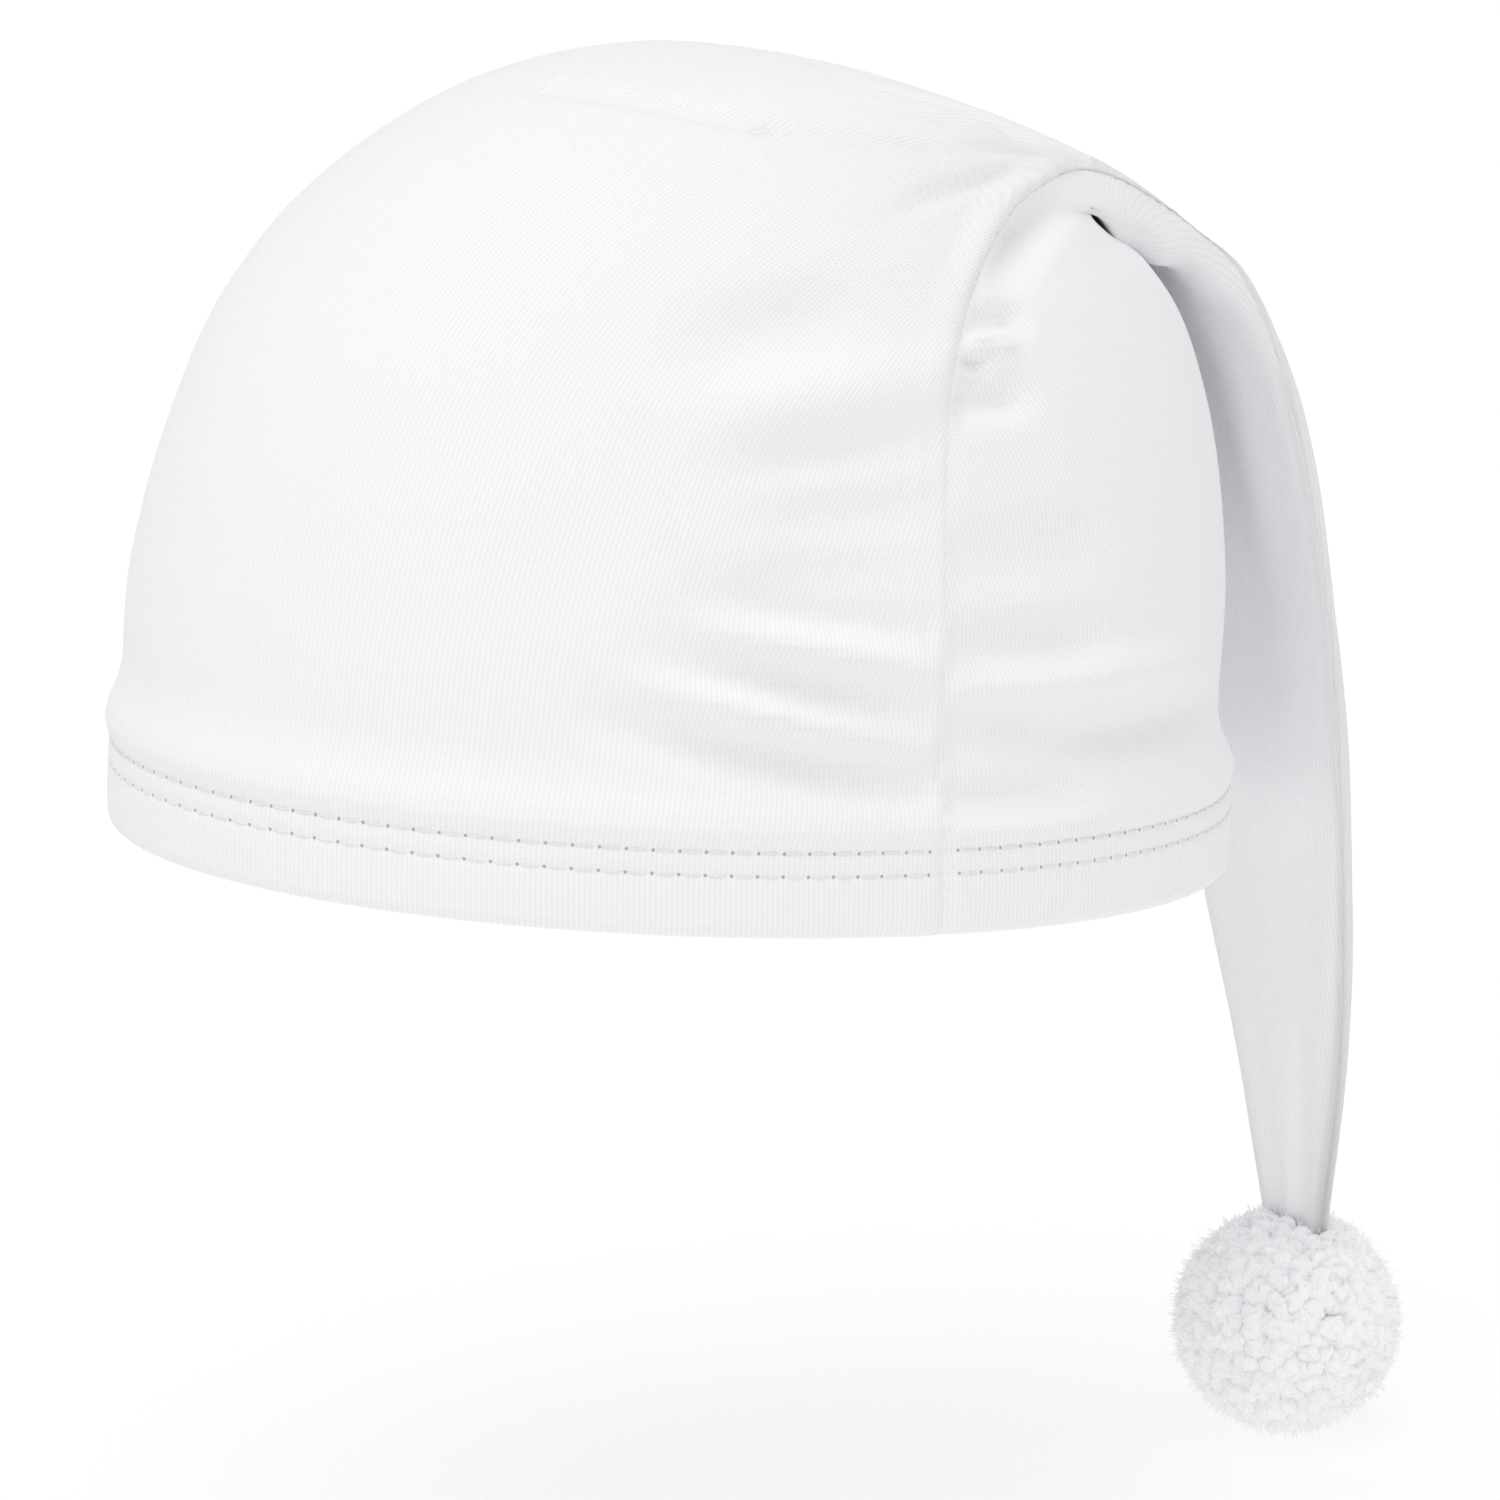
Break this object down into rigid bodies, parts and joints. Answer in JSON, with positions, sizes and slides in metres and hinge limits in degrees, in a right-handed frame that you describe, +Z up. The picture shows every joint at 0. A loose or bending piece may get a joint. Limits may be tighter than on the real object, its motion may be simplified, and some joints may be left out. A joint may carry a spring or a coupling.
{
  "type": "nightcap",
  "caption": "Domed white jersey nightcap with a twin-stitched turned hem, a top folded over at the back into a hanging tail, and a yarn pompom on its tip.",
  "frame": {"origin": "the middle of the head opening, at the level of the side seams' lower ends, where the cap sits on a head", "axes": "+Z up, the forehead towards -Y, the hanging tail towards +Y, the wearer's left towards +X"},
  "size_m": [0.1648, 0.2439, 0.2576],
  "materials": {
    "jersey": "fine white single jersey, matt, wales running up the panels",
    "yarn": "soft white cut yarn, matt"
  },
  "bodies": {
    "root": {"front_panel": "jersey", "back_panel": "jersey", "pompom": "yarn"}
  },
  "joints": []
}
